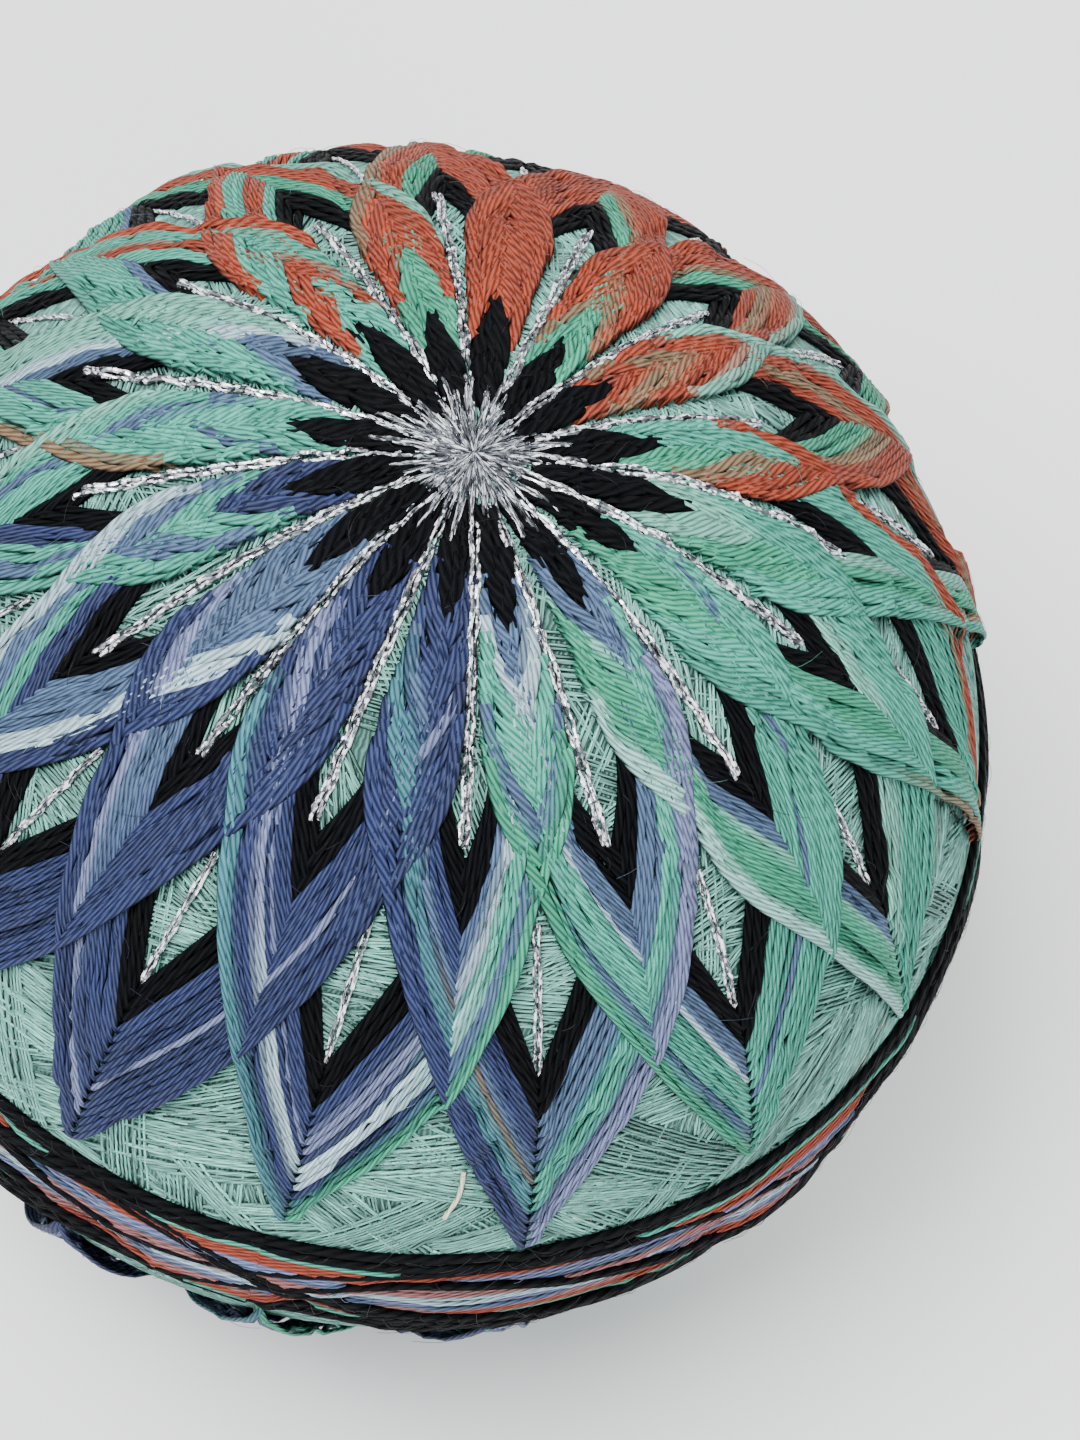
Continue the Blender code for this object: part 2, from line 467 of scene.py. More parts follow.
def leg_paths(petals, hand, row, half):
    """One row's lines, from the tops of those petals to the tips of their neighbours on one hand."""
    axis = FIRST_PETAL + SECTOR * petals
    top = axis + column(petals, "top")
    middle = axis + column(petals, "middle")
    beyond = petals + hand
    next_middle = FIRST_PETAL + SECTOR * beyond + column(beyond, "middle")
    foot = FIRST_PETAL + SECTOR * beyond + column(beyond, "foot")
    stray = rng.normal(0, STRAY, (5, len(petals)))
    cross = row_angle(FIRST_CROSSING, column(petals, "colour"), column(petals, "cross"), row)
    cross = cross + stray[0]
    start = cross - row_angle(*START_ABOVE, row) + stray[1]
    leave = row_angle(*LEAVING, row) + stray[2] / 2
    half_way = row_angle(*MIDWAY, row) + stray[3] / 2
    low = row_angle(FIRST_TIP, COLOUR_TIP, column(beyond, "tip"), row) + stray[4] / 3
    if half < 0:
        low = low + LOWER_TIP
    spread = BLACK_START_TURN if row < BLACK_ROWS else START_TURN
    spread = spread * rng.normal(1, TURN_STRAY, len(petals))
    drop = cross - start
    turned = np.clip((cross - AXIS_TURNS_BELOW) / AXIS_TURNS_OVER, 0, 1)
    crossing_axis = top + (middle - top) * turned
    controls = [
        toward(start - COMING_UP, crossing_axis - hand * spread),
        toward(start, crossing_axis - hand * spread),
        toward(start + drop * BOW_DOWN, crossing_axis - hand * spread * BOW_TURN),
        toward(cross, crossing_axis),
        toward(leave, middle + hand * row_angle(*LEAVING_TURN, row)),
        toward(half_way, (middle + next_middle) / 2),
        toward(low, foot),
    ]
    last = controls[-1] + unit(controls[-1] - controls[-2]) * TIP_OVERRUN / BALL_RADIUS
    controls.append(unit(last))
    paths = evenly(smooth_path(np.stack(controls, axis=1)), LAY_STEP)
    paths[..., 2] *= half
    return paths


def row_colours(run):
    """The colour of each coloured row at its top and at its tip, from counts and names."""
    words = run.split()
    names = [name for count, name in zip(words[::2], words[1::2]) for _ in range(int(count))]
    assert len(names) == COLOURED_ROWS, run
    return [(linear(name.split(">")[0]), linear(name.split(">")[-1])) for name in names]


TINTS = [{-1: row_colours(petal.left), 1: row_colours(petal.right)} for petal in PETAL_TABLE]
# Where along a leg a dyed thread turns into its second colour, and where its dye changes a little
TURNS_COLOUR = (0.45, 0.75)
DYE_STOPS = (0.0, 0.3, 0.65, 1.0)
MOST_DRIFT = 0.45
SHADES_ALONG, SHADES_OF_LEGS = (0.8, 1.2), (0.84, 1.16)


def leg_tints(petals, hand, row, length):
    """Each leg's colour along its length: its row's, drifting a little towards a neighbouring row's."""
    if row < BLACK_ROWS:
        return linear("black")
    tints = np.empty((len(petals), length, 3))
    along = np.linspace(0, 1, length)
    for tint, petal in zip(tints, petals):
        rows = TINTS[petal][hand]
        place = row - BLACK_ROWS
        near = min(max(place + rng.integers(-1, 2), 0), COLOURED_ROWS - 1)
        turn = np.interp(along, TURNS_COLOUR, (0, 1))[:, None]
        own = rows[place][0] * (1 - turn) + rows[place][1] * turn
        other = rows[near][0] * (1 - turn) + rows[near][1] * turn
        drifts = rng.uniform(0, MOST_DRIFT, len(DYE_STOPS))
        drift = np.interp(along, DYE_STOPS, drifts)[:, None]
        shades = rng.uniform(*SHADES_ALONG, len(DYE_STOPS))
        shade = np.interp(along, DYE_STOPS, shades)[:, None]
        tint[:] = (own + (other - own) * drift) * shade * rng.uniform(*SHADES_OF_LEGS)
    return tints


def dive(heights):
    """A thread comes up round the edge of its petal, and goes down into the ball where it ends."""
    distance = np.arange(heights.shape[1]) * LAY_STEP
    rise = np.sin(np.clip(distance / RISE_LENGTH, 0, 1) * math.pi / 2)
    sink = np.sqrt(np.clip(distance[::-1] / SINK_LENGTH, 0, 1))
    share = rise * sink
    return heights * share - DIVE * (1 - share)


def plan_legs(half):
    """Every leg of one half of the ball in the order of stitching, as (row, odd, hand, petals, paths)."""
    legs = []
    for row in range(ROWS):
        for odd in (0, 1):
            petals = np.arange(odd, PETALS, 2)
            for hand in (-1, 1):
                legs.append((row, odd, hand, petals, leg_paths(petals, hand, row, half)))
    return legs


def make_petals(legs, half, yarn_skein, thread_skeins, fuzz):
    """Stitches the petals of one half of the ball, row by row from the inside out."""
    for row, odd, hand, petals, paths in legs:
        black = row < BLACK_ROWS
        width = YARN_WIDTH if black else THREAD_WIDTH
        thickness = YARN_THICKNESS if black else THREAD_THICKNESS
        heights = dive(lay(paths, width, thickness))
        keep = thin_out(paths.shape[1], MESH_EVERY[half])
        tints = leg_tints(petals, hand, row, len(keep))
        skein = yarn_skein if black else thread_skeins[odd]
        paired = np.interp(np.linspace(0, 1, len(keep)), BRAID_END, (1, 0))
        swell = width * (1 + ((BLACK_SWELL if black else BRAID_SWELL) - 1) * paired)
        paths, heights = paths[:, keep], heights[:, keep]
        skein.add(paths, heights, swell, thickness, tints, paired)
        add_fuzz(fuzz, paths, heights, thickness, tints, PETAL_HAIRS[half][black])


# Loose fibres

HAIR_POINTS = 5
HAIR_WIDTH = 0.035 * MM
# In millimetres
HAIR_LENGTH = (0.7, 2.4)
# How much a hair bends and leans to the side, as shares of its length
HAIR_BEND, HAIR_LEAN = 0.5, 0.6
# How far above its thread's middle it starts, as a share of the thickness, and its arch, which is a
# little short of a half turn in radians
HAIR_ROOT = 0.3
HAIR_LIFT, HAIR_LIFT_SHARES = 0.35 * MM, (0.2, 1)
HAIR_ARCH = 3
HAIR_SHADES = (0.9, 1.5)
# How many hairs a coloured and a black thread have: a leg of either half, and a turn of the belt
PETAL_HAIRS = {1: (2, 3), -1: (1, 1)}
BELT_HAIRS = (6, 210)


def add_fuzz(skein, paths, heights, thickness, tints, each):
    """A few thin fibres that stand off each thread, in its own colour."""
    threads, length = paths.shape[:2]
    tints = np.broadcast_to(tints, paths.shape)
    along = np.linspace(0, 1, HAIR_POINTS)[:, None]
    for thread in np.repeat(np.arange(threads), each):
        spot = rng.integers(2, length - 2)
        base = paths[thread, spot]
        forward = unit(paths[thread, spot + 1] - base)
        aside = np.cross(forward, base)
        reach = rng.uniform(*HAIR_LENGTH) * MM / BALL_RADIUS
        bend = rng.normal(0, HAIR_BEND)
        way = forward * rng.choice([-1, 1]) + aside * rng.normal(0, HAIR_LEAN)
        hair = unit(base + along * reach * way + along**2 * reach * bend * aside)
        arch = HAIR_LIFT * rng.uniform(*HAIR_LIFT_SHARES) * np.sin(along[:, 0] * HAIR_ARCH)
        lift = heights[thread, spot] + thickness * HAIR_ROOT + arch
        tint = tints[thread, spot] * rng.uniform(*HAIR_SHADES)
        skein.add(hair[None], lift[None], HAIR_WIDTH, HAIR_WIDTH, tint)


# The belt

# Turns from the top edge down, then the yarns that cross them in long flat zigzags. A zigzag swings
# between two angles down, so many times round the ball, with one of its tops at lead. The turns are
# drawn together where the lowest yarns, which edge them, swing up.
BELT_TURNS = (
    "black black mint coral coral coral lavender lavender slate rose rose rose frost frost lavender "
    "slate rose rose coral coral mint"
)
BELT_TOP = 80.0
Zigzag = namedtuple("Zigzag", "yarns high low turns lead")
BELT_EDGE = Zigzag(2, 91.0, 98.4, 6, -4.0)
BELT_ZIGZAGS = (
    Zigzag(1, 84.8, 92.0, 5, 14.0),
    Zigzag(1, 80.9, 87.2, 4, 22.0),
    Zigzag(2, 81.2, 97.5, 4, -16.0),
)
BELT_PILE = Pile(1.3 * MM, 0.1, 3, 6)
BELT_YARN, BELT_YARN_THICKNESS = 0.86 * MM, 0.72 * MM
BELT_THREAD = 0.52 * MM
BELT_EVERY = 6
BELT_SHADES = (0.9, 1.1)
# In degrees. The turns spread out to at most this share of that.
BELT_YARN_PITCH, BELT_THREAD_PITCH = 1.0, 0.66
MOST_SPREAD = 1.15
# How many degrees a strand strays, in how many whole waves
BELT_STRAY, BELT_WAVES = 0.1, 5
# A zigzag's corners stray by one part in so many of a step, and by so many degrees down.
CORNER_PARTS, CORNER_STRAY = 7, 0.4
CORNER_ROUNDING = 0.09


def belt_stray(around):
    """How many degrees down a strand of the belt strays at each angle around."""
    turns = np.radians(around)[None] * np.arange(1, BELT_WAVES + 1)[:, None]
    phases = rng.uniform(0, math.tau, (BELT_WAVES, 1))
    waves = np.sin(turns + phases) * rng.normal(0, 1, (BELT_WAVES, 1))
    return waves.sum(axis=0) * BELT_STRAY / math.sqrt(BELT_WAVES)


def lay_round(down, around, colour, skeins, fuzz):
    """Lays one strand all the way round the ball."""
    black = colour == "black"
    width = BELT_YARN if black else BELT_THREAD
    thickness = BELT_YARN_THICKNESS if black else THREAD_THICKNESS
    paths = toward(down, around)[None]
    heights = lay(paths, width, thickness, BELT_PILE)
    keep = np.append(thin_out(len(around), BELT_EVERY), 0)
    tint = linear(colour) * rng.uniform(*BELT_SHADES)
    paths, heights = paths[:, keep], heights[:, keep]
    skeins[black].add(paths, heights, width, thickness, tint)
    add_fuzz(fuzz, paths, heights, thickness, tint, BELT_HAIRS[black])


def make_belt(skeins, fuzz):
    """Lays the turns of the belt from the top edge down, then the yarns that cross them."""
    around = np.linspace(0, 360, int(math.tau * BALL_RADIUS / LAY_STEP), endpoint=False)
    colours = BELT_TURNS.split()
    pitches = [BELT_YARN_PITCH if colour == "black" else BELT_THREAD_PITCH for colour in colours]
    levels = np.cumsum(pitches) - BELT_YARN_PITCH
    edge = zigzag_line(BELT_EDGE, around)
    share = (edge - BELT_TOP) / (levels[-1] + BELT_YARN_PITCH)
    share = np.minimum(share, MOST_SPREAD)
    for colour, level in zip(colours, levels):
        drawn = level if colour == "black" else level * share
        lay_round(BELT_TOP + drawn + belt_stray(around), around, colour, skeins, fuzz)
    for zigzag in (BELT_EDGE, *BELT_ZIGZAGS):
        line = edge if zigzag is BELT_EDGE else zigzag_line(zigzag, around)
        for yarn in range(zigzag.yarns):
            offset = (yarn - (zigzag.yarns - 1) / 2) * BELT_YARN_PITCH
            lay_round(line + offset + belt_stray(around), around, "black", skeins, fuzz)


def zigzag_line(zigzag, around):
    """How far down a zigzag is at each angle around. Its corners stray, and are rounded a little."""
    corners = 2 * zigzag.turns
    step = 360 / corners
    number = np.arange(corners)
    stray = np.where(number < 2, 0, 1)
    stops = zigzag.lead + step * number + stray * rng.normal(0, step / CORNER_PARTS, corners)
    levels = np.where(number % 2, zigzag.low, zigzag.high)
    levels = levels + stray * rng.normal(0, CORNER_STRAY, corners)
    stops = np.concatenate([stops[-1:] - 360, stops, stops[:1] + 360])
    levels = np.concatenate([levels[-1:], levels, levels[:1]])
    number = np.arange(corners + 2)
    share = np.interp((around - stops[0]) % 360 + stops[0], stops, number)
    return np.interp(share - CORNER_ROUNDING * np.sin(share * math.tau), number, levels)


# The silver star

# One row for each ray: how far its upper part and its end stray from an even spacing round the
# ball, and how far down it ends, in degrees.
Ray = namedtuple("Ray", "top turn end")
RAY_TABLE = (
    Ray(-0.6, -0.7, 34.7),
    Ray(-3.2, -1.8, 36.5),
    Ray(1.0, -0.8, 37.0),
    Ray(2.0, 1.0, 35.0),
    Ray(0.0, -4.0, 37.3),
    Ray(-2.2, -4.3, 30.7),
    Ray(-1.4, -2.3, 33.9),
    Ray(-1.3, -0.8, 34.8),
    Ray(1.5, 1.8, 35.9),
    Ray(0.7, 0.8, 33.8),
    Ray(0.5, 3.0, 35.9),
    Ray(0.8, 0.2, 38.7),
    Ray(0.0, -0.7, 35.9),
    Ray(0.8, 2.6, 37.5),
    Ray(0.3, 2.0, 36.0),
    Ray(-1.2, -0.9, 35.5),
)
# A ray is two strands, this far to each side of its line. They end a little short of its end.
RAY_SPREAD = 0.2 * MM
RAY_START, RAY_SHORT = 3.0, 0.7
SILVER_WIDTH, SILVER_THICKNESS = 0.4 * MM, 0.3 * MM
SILVER_STEP = 0.3 * MM
# A strand keeps its top's place down to the first angle, then turns to its end's place, which it
# reaches at its end or at the second angle.
TURNS_FROM, TURNED_BY = 12, 13
# It wanders to the side in waves, so many radians to a step, and its end sinks in.
SILVER_WANDER, WANDER_TURN = 0.06 * MM, 0.6
SILVER_SINK = 0.3 * MM
# Distances to the side grow no wider in degrees closer to the pole than this.
CLOSEST_TO_POLE = 2.2
# How much the facets' heights stray, in millimetres, and their shares of the strand's width and
# thickness. Between two angles down the width grows to the whole.
FACET_LIFT = 0.05
FACET_WIDTHS, FACET_THICKNESSES = (0.7, 1.15), (0.6, 1.3)
SLIM_BETWEEN, SLIM_SHARES = (2, 12), (0.62, 1)
# The burst at the pole: so many bundles to a ray, of so many needles. In degrees, how far bundles
# reach and stray, where needles start, and how much shorter they are. As shares of a needle's width
# and of its offset, how far apart they are, and how much of that closes towards their ends.
BUNDLES, NEEDLES = 3, 4
NEEDLE_WIDTH = 0.24 * MM
NEEDLE_LENGTH, BUNDLE_STRAY = (5.0, 10.0), 2.2
NEEDLE_STARTS, NEEDLE_SHORT = (-2.0, 0.5), 2.0
NEEDLE_PITCH, NEEDLE_CLOSING = 0.8, 0.7


def silver_line(skein, half, start, end, turns, offset, width, closing=0.0):
    """One strand of silver down one half of the ball, with facets that catch the light."""
    count = max(int(math.radians(abs(end - start)) * BALL_RADIUS / SILVER_STEP), 4)
    down = np.linspace(start, end, count)
    around = np.interp(down, (max(start, TURNS_FROM), max(end, TURNED_BY)), turns)
    wander = SILVER_WANDER * np.sin(np.arange(count) * WANDER_TURN + rng.uniform(0, 6))
    offsets = offset + wander * width / SILVER_WIDTH + closing * np.linspace(0, 1, count)
    away = np.maximum(np.abs(down), CLOSEST_TO_POLE)
    path = toward(down, around + sideways(away, offsets))[None]
    path[..., 2] *= half
    height = width * SILVER_THICKNESS / SILVER_WIDTH
    heights = lay(path, width, height)
    heights = heights + rng.uniform(-FACET_LIFT, FACET_LIFT, (1, count)) * MM
    heights[:, -1] -= SILVER_SINK
    facet = rng.uniform(*FACET_WIDTHS, (1, count)) * np.interp(down, SLIM_BETWEEN, SLIM_SHARES)
    rise = rng.uniform(*FACET_THICKNESSES, (1, count))
    skein.add(path, heights, width * facet, height * rise, np.ones(3))


def make_star(rays, needles, half):
    """Lays the long rays of one pole, then the bundles of short needles over their upper ends."""
    for number, ray in enumerate(RAY_TABLE):
        around = FIRST_RAY + SECTOR * number
        turns = (around + ray.top, around + ray.turn)
        for side in (-1, 1):
            end = ray.end - rng.uniform(0, RAY_SHORT)
            silver_line(rays, half, RAY_START, end, turns, side * RAY_SPREAD, SILVER_WIDTH)
    for number in rng.permutation(PETALS * BUNDLES):
        around = FIRST_RAY + SECTOR * (number + 0.5) / BUNDLES + rng.normal(0, BUNDLE_STRAY)
        turns = (around, around)
        reach = rng.uniform(*NEEDLE_LENGTH)
        for needle in range(NEEDLES):
            offset = (needle - (NEEDLES - 1) / 2) * NEEDLE_WIDTH * NEEDLE_PITCH
            closing = -offset * NEEDLE_CLOSING
            tip = reach - rng.uniform(0, NEEDLE_SHORT)
            start = rng.uniform(*NEEDLE_STARTS)
            silver_line(needles, half, start, tip, turns, offset, NEEDLE_WIDTH, closing)


# In degrees: between which angles down the marking lines show, and how far their tops stray
GUIDE_START, GUIDE_END, GUIDE_STRAY = 41.5, 58.0, 0.6
GUIDE_WIDTH = 0.3 * MM


def make_guides(skein, half):
    """Dull silver marking lines that show down the middle of the openings between the petals."""
    for petal in range(PETALS):
        axis = FIRST_PETAL + SECTOR * petal
        top = axis + PETAL_TABLE[petal].middle + rng.normal(0, GUIDE_STRAY)
        end = axis + PETAL_TABLE[petal].foot
        turns = ((top + end) / 2, end)
        for side in (-0.5, 0.5):
            silver_line(skein, half, GUIDE_START, GUIDE_END, turns, side * GUIDE_WIDTH, GUIDE_WIDTH)


# Materials


class Nodes:
    """Short ways to add and join a material's nodes."""

    def __init__(self, name):
        self.material = bpy.data.materials.new(name)
        self.material.use_nodes = True
        self.tree = self.material.node_tree
        self.shader = self.tree.nodes["Principled BSDF"]

    def add(self, kind, settings=(), **inputs):
        """The first output of a new node. Inputs are named by their number, after an underscore."""
        node = self.new(kind)
        for name, value in dict(settings).items():
            setattr(node, name, value)
        for name, value in inputs.items():
            self.join(value, node.inputs[int(name[1:])])
        return node.outputs[0]

    def new(self, kind):
        return self.tree.nodes.new("ShaderNode" + kind)

    def join(self, value, socket):
        if isinstance(value, bpy.types.NodeSocket):
            self.tree.links.new(value, socket)
        else:
            socket.default_value = value

    def maths(self, operation, a, b=0.0, c=0.0):
        return self.add("Math", {"operation": operation}, _0=a, _1=b, _2=c)

    def vector(self, x, y, z=0.0):
        return self.add("CombineXYZ", _0=x, _1=y, _2=z)

    def surface(self, name, value):
        self.join(value, self.shader.inputs[name])

    def bump(self, height, strength, distance):
        node = self.new("Bump")
        self.join(strength, node.inputs["Strength"])
        self.join(distance, node.inputs["Distance"])
        self.join(height, node.inputs["Height"])
        self.surface("Normal", node.outputs[0])


def thread_parts(nodes):
    """How far along its thread a point is, in millimetres, and how far around it, as a share."""
    place = nodes.add("UVMap", {"uv_map": "thread"})
    split = nodes.new("SeparateXYZ")
    nodes.join(place, split.inputs[0])
    return split.outputs[0], split.outputs[1]


# A twisted thread: the length of its lay in millimetres, its plies, how much painted shade darkens the
# grooves between them and painted highlight lightens their crests, how much its fibres show, how much
# painted sheen greys its crests, its gloss, and its relief in metres
Finish = namedtuple("Finish", "lay_length plies groove fuzz fade gloss depth")
COTTON = Finish(1.2, 3.2, 0.75, 0.6, 0.05, 0.14, 0.0001)
YARN = Finish(1.6, 2.5, 0.6, 0.8, 0.004, 0.06, 0.0002)
SEWING = Finish(1.5, 2.0, 0.4, 0.5, 0.1, 0.35, 0.00005)
# Pale grey that paints a sheen onto the crests of the plies: painted highlight
SHEEN_GREY = (0.52, 0.58, 0.60, 1)
THREAD_ROUGHNESS = 0.62
# How much painted shade darkens a thread at its edges, where it meets its neighbours, how much its shade
# varies along it, and its least
PAINTED_EDGE_SHADE, MOTTLE, DARKEST = 0.6, 0.2, 0.06


def thread_material(name, finish):
    """A twisted thread: plies that run round it, with finer fibres along them. Its colour holds painted
    shade in the grooves and at the edges, and painted sheen on the crests.
    """
    nodes = Nodes(name)
    along, around = thread_parts(nodes)
    plies = nodes.maths("MULTIPLY", around, finish.plies)
    twist = nodes.maths("MULTIPLY_ADD", along, 1.0 / finish.lay_length, plies)
    ply = nodes.maths("ABSOLUTE", nodes.maths("SINE", nodes.maths("MULTIPLY", twist, math.pi)))
    across = nodes.maths("MULTIPLY", twist, 7.0)
    stretched = nodes.vector(across, nodes.maths("MULTIPLY", along, 0.4))
    fibres = nodes.add("TexNoise", _0=stretched, _2=1.0, _3=3.0)
    mottle = nodes.add("TexNoise", _0=nodes.vector(along, 0.0, 7.0), _2=0.5, _3=2.0)
    # Painted shade between neighbouring threads: darkest at both edges of the section, none at its top
    edge = nodes.maths("ABSOLUTE", nodes.maths("MULTIPLY_ADD", around, 2.5, -1.0))
    edge = nodes.maths("POWER", nodes.maths("MINIMUM", edge, 1.0), 3.0)
    # Painted shade in the grooves between the plies, painted highlight on their crests
    shade = nodes.maths("MULTIPLY_ADD", ply, finish.groove, 1.0 - finish.groove * 0.62)
    shade = nodes.maths("SUBTRACT", shade, nodes.maths("MULTIPLY", edge, PAINTED_EDGE_SHADE))
    grain = nodes.maths("MULTIPLY_ADD", fibres, finish.fuzz * 2, -finish.fuzz)
    shade = nodes.maths("ADD", shade, grain)
    mottle = nodes.maths("MULTIPLY_ADD", mottle, MOTTLE * 2, -MOTTLE)
    shade = nodes.maths("MAXIMUM", nodes.maths("ADD", shade, mottle), DARKEST)
    scaled = nodes.new("VectorMath")
    scaled.operation = "SCALE"
    nodes.join(nodes.add("VertexColor", {"layer_name": "tint"}), scaled.inputs[0])
    nodes.join(shade, scaled.inputs[3])
    # Painted sheen: the crests of the plies are mixed towards a pale grey
    sheen_mix = nodes.new("Mix")
    sheen_mix.data_type = "RGBA"
    crest = nodes.maths("MULTIPLY", nodes.maths("POWER", ply, 3.0), finish.fade)
    nodes.join(crest, sheen_mix.inputs["Factor"])
    nodes.join(scaled.outputs[0], sheen_mix.inputs[6])
    nodes.join(SHEEN_GREY, sheen_mix.inputs[7])
    nodes.surface("Base Color", sheen_mix.outputs[2])
    nodes.surface("Roughness", THREAD_ROUGHNESS)
    nodes.surface("Specular IOR Level", finish.gloss)
    nodes.bump(nodes.maths("MULTIPLY_ADD", fibres, 0.6, ply), 1.0, finish.depth)
    return nodes.material


# The facets' colours: painted shade on the darkest, grey metal between, and a painted glint in white on
# the brightest
SILVER_PAINTED_SHADE, SILVER_GREY = (0.07, 0.08, 0.1, 1), (0.55, 0.57, 0.6, 1)
SILVER_PAINTED_GLINT = (0.96, 0.97, 1.0, 1)
# The length of a facet in millimetres, and the share of the facets that stay below the painted glint
RAY_FOIL, NEEDLE_FOIL = (0.36, 0.76), (0.8, 0.88)


def silver_material(name, facet, glints):
    """Lame thread: metal foil in short facets, each a little differently turned, their colours painted
    from shade through grey to white glints.
    """
    nodes = Nodes(name)
    along, around = thread_parts(nodes)
    along = nodes.maths("MULTIPLY", along, 1.0 / facet)
    cell = nodes.new("TexVoronoi")
    cell.inputs["Scale"].default_value = 1.0
    place = nodes.vector(along, nodes.maths("MULTIPLY", around, 4.0))
    nodes.join(place, cell.inputs["Vector"])
    split = nodes.new("SeparateColor")
    nodes.join(cell.outputs["Color"], split.inputs[0])
    shine = nodes.new("ValToRGB")
    shine.color_ramp.elements[0].position = 0.1
    shine.color_ramp.elements[0].color = SILVER_PAINTED_SHADE
    shine.color_ramp.elements[1].position = glints
    shine.color_ramp.elements[1].color = SILVER_PAINTED_GLINT
    shine.color_ramp.elements.new(glints - 0.12).color = SILVER_GREY
    nodes.join(split.outputs[0], shine.inputs[0])
    nodes.surface("Base Color", shine.outputs[0])
    # The painted glints are barely metallic, so that their white shows as a glint
    glint = nodes.maths("GREATER_THAN", split.outputs[0], glints - 0.04)
    metal = nodes.maths("MULTIPLY_ADD", glint, -0.8, 0.95)
    nodes.surface("Metallic", metal)
    rough = nodes.maths("MULTIPLY_ADD", split.outputs[1], 0.3, 0.12)
    nodes.surface("Roughness", rough)
    nodes.bump(split.outputs[2], 1.0, 0.00008)
    return nodes.material


def wrap_material():
    """What shows between the wound strands: the same mint thread, deep in shade."""
    nodes = Nodes("wrap_thread_under")
    lines = nodes.new("TexWave")
    nodes.join(nodes.add("NewGeometry"), lines.inputs["Vector"])
    lines.inputs["Scale"].default_value = 900.0
    lines.inputs["Distortion"].default_value = 6.0
    lines.inputs["Detail"].default_value = 2.0
    ramp = nodes.new("ValToRGB")
    ramp.color_ramp.elements[0].color = (*linear("wrap") * 0.22, 1)
    ramp.color_ramp.elements[1].color = (*linear("wrap") * 0.75, 1)
    nodes.join(lines.outputs["Fac"], ramp.inputs[0])
    nodes.surface("Base Color", ramp.outputs[0])
    nodes.surface("Roughness", 0.9)
    nodes.bump(lines.outputs["Fac"], 0.8, 0.00015)
    return nodes.material


# The wound base

BALL_RINGS, BALL_SEGMENTS = 80, 120
# How far inside the winding it lies, and the waves that make it uneven
BALL_DEPTH = 0.22 * MM
BALL_WAVES, BALL_WAVE = 8, 0.02 * MM
WAVE_NUMBER = 5
WELD = 1e-7


def make_ball():
    """The wound ball itself, slightly uneven, flat where it rests."""
    down = np.linspace(0, 180, BALL_RINGS + 1)[:, None]
    around = np.linspace(0, 360, BALL_SEGMENTS, endpoint=False)[None]
    directions = toward(*np.broadcast_arrays(down, around))
    waves = sum(
        np.sin(directions @ rng.normal(0, WAVE_NUMBER, 3) + rng.uniform(0, 6))
        for _ in range(BALL_WAVES)
    )
    points = CENTRE + directions * (BALL_RADIUS - BALL_DEPTH + BALL_WAVE * waves)[..., None]
    points[..., 2] = np.maximum(points[..., 2], 0.0)
    index = np.arange(points[..., 0].size).reshape(points.shape[:2])
    following = np.roll(index, -1, axis=1)
    faces = np.stack([index[:-1], index[1:], following[1:], following[:-1]], axis=-1).reshape(-1, 4)
    mesh = bpy.data.meshes.new("wrap_ball")
    mesh.from_pydata(points.reshape(-1, 3).tolist(), [], faces.tolist())
    weld_poles(mesh)
    mesh.materials.append(wrap_material())
    mesh.shade_smooth()
    return add_object("wrap_ball", mesh)


def weld_poles(mesh):
    """Makes one point of each pole's ring of points."""
    shape = bmesh.new()
    shape.from_mesh(mesh)
    bmesh.ops.remove_doubles(shape, verts=shape.verts, dist=WELD)
    bmesh.ops.dissolve_degenerate(shape, edges=shape.edges, dist=WELD)
    bmesh.ops.recalc_face_normals(shape, faces=shape.faces)
    shape.to_mesh(mesh)
    shape.free()


STRAND_WIDTH, STRAND_THICKNESS = 0.25 * MM, 0.24 * MM
STRAND_PITCH = 0.29 * MM
STRAND_WANDER = 0.1  # in millimetres
STRAND_EVERY = {1: 7, -1: 16}
WRAP_PILE = Pile(0.3 * MM, 0.16, 2, 3)
WRAP_RELIEF = 0.12 * MM
# How far, in cells of the map, its level is averaged so that the wound ball stays round
LEVEL_REACH = 20
# A strand is left out where others lie this far above it, and where it shows for fewer steps.
BURIED, LEAST_SHOWN = 0.1 * MM, 8
# A stitch hides what is under these shares of half its width, but for its first and last steps.
COVERS_AT, COVER_FROM = (-0.5, 0.0, 0.5), 6
BANDS, BAND_STRANDS = 120, (7, 20)
# Each band and each strand is made brighter or darker at random: painted satin sheen and painted shade
BAND_PAINTED_SHEENS = (0.75, 1.3)
STRAND_PAINTED_SHEENS = (0.65, 0.9, 1.0, 1.1, 1.55)
CREAM_SHARE = 0.003
# The last bands pass in turn through the bare ring below the petals and through the openings
# between them: how far down, how much that strays, and how much they stray from level, in degrees.
# From each to the next it is this share of a whole turn round the ball.
OPENING_BANDS = 56
Opening = namedtuple("Opening", "down stray slope")
OPENINGS = (Opening(68, 5, 38), Opening(47, 3, 14))
OPENING_STEP = 0.618
# A short end of cream thread caught in the winding
Spot = namedtuple("Spot", "down around")
SCRAP = (Spot(66.8, 17.1), Spot(70.2, 16.9), Spot(73.4, 15.9))
SCRAP_WIDTH = 0.42 * MM


def covered_by(legs):
    """A map of the ball that is True where petals or belt hide any wound thread."""
    cover = np.zeros((MAP_ROWS, MAP_COLUMNS), bool)
    for *_, paths in legs:
        sides = np.cross(tangents(paths), paths) * THREAD_WIDTH / 2 / BALL_RADIUS
        for offset in COVERS_AT:
            cover[cells(unit(paths + sides * offset)[:, COVER_FROM:-COVER_FROM])] = True
    cover[int((BELT_TOP + 1) / CELL) : int(BELT_EDGE.high / CELL)] = True
    return cover


